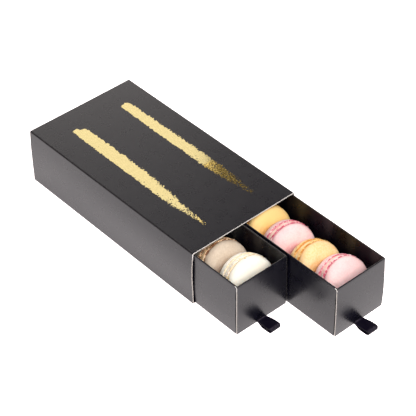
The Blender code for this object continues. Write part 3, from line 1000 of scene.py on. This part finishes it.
def turned(centre, axis, r, angle, h):
    """World points from radius, clock angle and height along the axis; angle 0 is the top."""
    up = np.array([0, 0, 1]) - axis * axis[2]
    up /= np.linalg.norm(up)
    side = np.cross(up, axis)
    return centre + np.outer(h, axis) + np.outer(r * np.cos(angle), up) + np.outer(r * np.sin(angle), side)


def shell_profile(radius, half_thickness):
    """(r, height, foot) rows from near the dome's middle round to the underside."""
    crease = FOOT_START + FOOT_HEIGHT
    dome = half_thickness - crease
    rim = radius - 0.5
    profile = []
    lip = 0.25
    for phi in np.linspace(math.pi / 2, 0.0, DOME_ROWS)[1:]:
        height = crease + lip + (dome - lip) * math.sin(phi) ** DOME_RISE
        toasted = TOASTED_MOST * max(0.0, 1 - (height - crease - lip) / TOASTED_HEIGHT)
        profile.append((rim * math.cos(phi) ** DOME_SPREAD, height, toasted))
    profile.append((rim - CREASE_INSET + 0.05, crease + 0.08, 1.0))
    profile.append((rim - CREASE_INSET, crease - 0.10, 1.0))
    for u in np.linspace(0, 1, FOOT_ROWS + 1):
        bulge = math.sin(math.pi * (0.08 + 0.84 * u)) ** 0.6
        profile.append((radius - 0.50 + 0.65 * bulge, crease - 0.2 - (FOOT_HEIGHT - 0.2) * u, 1.0))
    profile += [(radius * share, FOOT_START, 0.2) for share in (0.93, 0.75, 0.4)]
    return np.array(profile)


def filling_profile(radius):
    """(r, height) rows of the filling, which closes the gap between the two shells."""
    half = FOOT_START - 0.02
    profile = [(radius * share, half) for share in (0.4, 0.8)]
    for u in np.linspace(-1, 1, FILLING_ROWS):
        profile.append((radius - 1.0 + 0.45 * math.sqrt(1 - 0.9 * u * u), -half * u))
    profile += [(radius * share, -half) for share in (0.8, 0.4)]
    return np.array(profile)


def revolved(profile, steps):
    """r, angle and height of every profile point turned round, as flat arrays."""
    angles = np.arange(steps) * 2 * math.pi / steps
    r, height = np.repeat(profile[:, 0], steps), np.repeat(profile[:, 1], steps)
    return r, np.tile(angles, len(profile)), height


def closed_faces(rows, steps):
    """Faces of a turned piece whose last two vertices are the middles of its two ends."""
    faces = ring_faces(rows, steps, closed_rings=True)
    top, bottom = rows * steps, rows * steps + 1
    last = (rows - 1) * steps
    faces += [(top, k, (k + 1) % steps) for k in range(steps)]
    faces += [(bottom, last + (k + 1) % steps, last + k) for k in range(steps)]
    return faces


def touch_share(verts, neighbour):
    """0 to 1 of painted shade where the macaron in front presses on this one, most towards the bottom left.
    """
    centre, axis, radius, _ = neighbour
    away = verts - centre
    along = away @ axis
    radial = np.linalg.norm(away - along[:, None] * axis, axis=1) / radius
    low_left = smooth_step((20 - away[:, 2]) / 14) * smooth_step((4 - away[:, 0]) / 8)
    return smooth_step((1.055 - radial) / 0.055) * low_left


def crumbs(shell, r, angle, h):
    """0 to 1 where a crumb sticks to a shell."""
    found = np.zeros(len(r))
    for clock, height, size in CRUMBS.get(shell, ()):
        off = (angle - math.radians(clock) + math.pi) % (2 * math.pi) - math.pi
        distance = np.hypot(off * r, h - height)
        found = np.maximum(found, smooth_step((size - distance) / size * 1.6))
    return found


def layered_noise(points, layers, seeds):
    """The sum of noises, each given as its height and the size of its features."""
    return sum(height * noise(points, size, seed) for (height, size), seed in zip(layers, seeds))


def shade_where_near(verts, part, neighbour, body):
    """Painted shade, 0 to 1, on a front shell where the macaron or the drawer's front before it is near."""
    if part == "rear":
        return np.zeros(len(verts))
    if neighbour:
        return NEIGHBOUR_SHADE * touch_share(verts, neighbour)
    wall = box_mm(body.replace("drawer", "tray"))[0][1] + TRAY_WALL
    return FRONT_SHADE * smooth_step((14 - (verts[:, 1] - wall)) / 9)


def make_shell(name, part, place, neighbour, seed, steps, material, flavour, body):
    """One baked shell with its ruffled foot.

    Where foot is 1 the foot's bubbly colour shows, and painted shade darkens it: along the crease on the
    front shell, by the filling on the rear, and in the hollows between its bubbles.
    """
    centre, axis, radius, half_thickness = place
    profile = shell_profile(radius, half_thickness)
    r, angle, h = revolved(profile, steps)
    foot = np.repeat(profile[:, 2], steps)
    crease = FOOT_START + FOOT_HEIGHT
    spot = np.column_stack([r * np.cos(angle), r * np.sin(angle), h])
    around = np.column_stack([radius * np.cos(angle), radius * np.sin(angle), np.zeros(len(r))])
    outer = smooth_step((r / radius - 0.5) / 0.4)
    near_crease = np.clip(1 - np.abs(h - crease) / 2.2, 0, 1) * (h > FOOT_START + 0.01)
    bubbles = layered_noise(spot, BUBBLES, (seed + 2, seed + 3))
    # The line of painted shade runs under the dome's crease on a front shell and by the filling on a rear
    # one
    middle = (h - FOOT_START) / FOOT_HEIGHT + 0.30 * noise(around, 3.2, seed + 9)
    line = middle if part == "front" else 1 - middle
    groove = smooth_step(line * 1.8 - 0.75)
    h = h + layered_noise(around, CREASE_RUFFLES, (seed + 1, seed + 11)) * near_crease
    h = h + layered_noise(spot, DOME_WAVES, (seed + 5, seed + 6)) * (foot < 0.1)
    r = r + BUBBLE_HEIGHT * bubbles * (foot > 0.9)
    r = r + outer * layered_noise(around, OUT_OF_ROUND, (seed + 4,))
    # Painted shade along that line and in the hollows between the bubbles
    hollow = np.clip(0.20 + 0.70 * groove - BUBBLE_TINT[flavour] * bubbles, 0, 1)
    toasted = foot * TOASTING[flavour] * (1 + 0.9 * noise(around, 3.0, seed + 10))
    foot = np.where(foot < 0.9, np.clip(toasted, 0, 1), foot)
    h = np.minimum(h, half_thickness)
    sign = 1 if part == "front" else -1
    verts = turned(centre, axis, r, angle, sign * h)
    middles = sign * np.array([h[:steps].mean(), FOOT_START])
    verts = np.vstack([verts, turned(centre, axis, np.zeros(2), np.zeros(2), middles)])
    add_mesh(f"{name}_{part}_shell", verts, closed_faces(len(profile), steps), material,
             body, f"{flavour}_shell", [f"{name}_{part}"], None,
             foot=np.append(foot, (0, 0.2)),
             hollow=np.append(hollow, (0.5, 0.5)),
             # Painted shade where a neighbour or the drawer's front is near
             touch=shade_where_near(verts, part, neighbour, body),
             crumb=np.append(crumbs(f"{name}_{part}", r, angle, h), (0, 0)),
             baked=np.full(len(verts), BAKED.get(name, 0.0)))


def make_filling(name, place, seed, steps, material, flavour, body):
    """The cream between two shells, lumpy at its edge."""
    centre, axis, radius, _ = place
    profile = filling_profile(radius)
    r, angle, h = revolved(profile, steps)
    spot = np.column_stack([r * np.cos(angle), r * np.sin(angle), h])
    edge = smooth_step((r / radius - 0.85) / 0.1)
    lumps = layered_noise(spot, FILLING_LUMPS, (seed + 7, seed + 8))
    verts = turned(centre, axis, r + FILLING_RELIEF * lumps * edge, angle, h)
    ends = turned(centre, axis, np.zeros(2), np.zeros(2), profile[[0, -1], 1])
    add_mesh(f"{name}_filling_cream", np.vstack([verts, ends]), closed_faces(len(profile), steps),
             material, body, f"{flavour}_filling", [f"{name}_filling"], None,
             # Painted shade where the cream's lumps sink in
             hollow=np.append(np.clip(0.5 - 0.6 * lumps, 0, 1), (0.5, 0.5)))


def make_row(side, shells, fillings):
    """A drawer's macarons from front to rear, in two flavours by turns."""
    body = f"{side}_drawer"
    place = None
    for i in range(ROW_COUNT):
        name = f"{side}_macaron_{i + 1}"
        flavour = FLAVOURS[side][i % 2]
        steps = SEEN_STEPS if i < SEEN_COUNT[side] else OTHER_STEPS
        seed = 100 * (i + 1) + (1000 if side == "right" else 0)
        neighbour, place = place, macaron_place(name)
        make_shell(name, "front", place, neighbour, seed, steps, shells[flavour], flavour, body)
        make_shell(name, "rear", place, neighbour, seed + 50, steps, shells[flavour], flavour, body)
        make_filling(name, place, seed, steps, fillings[flavour], flavour, body)


def main():
    make_camera()
    make_floor()
    make_lights()
    make_world()
    card, core = card_material(), core_material()
    foil, satin = foil_material(), satin_material()
    shells = {flavour: shell_material(flavour) for flavour in SHELL_COLOURS}
    fillings = {flavour: filling_material(flavour) for flavour in FILLING_COLOURS}
    make_sleeve(card, core)
    for side, stroke in STROKES.items():
        make_foil(side, stroke, foil)
    for side in FLAVOURS:
        tray = make_tray(side, card, core)
        make_ribbon(side, satin)
        make_row(side, shells, fillings)
    bpy.context.scene.view_settings.view_transform = "Standard"


main()
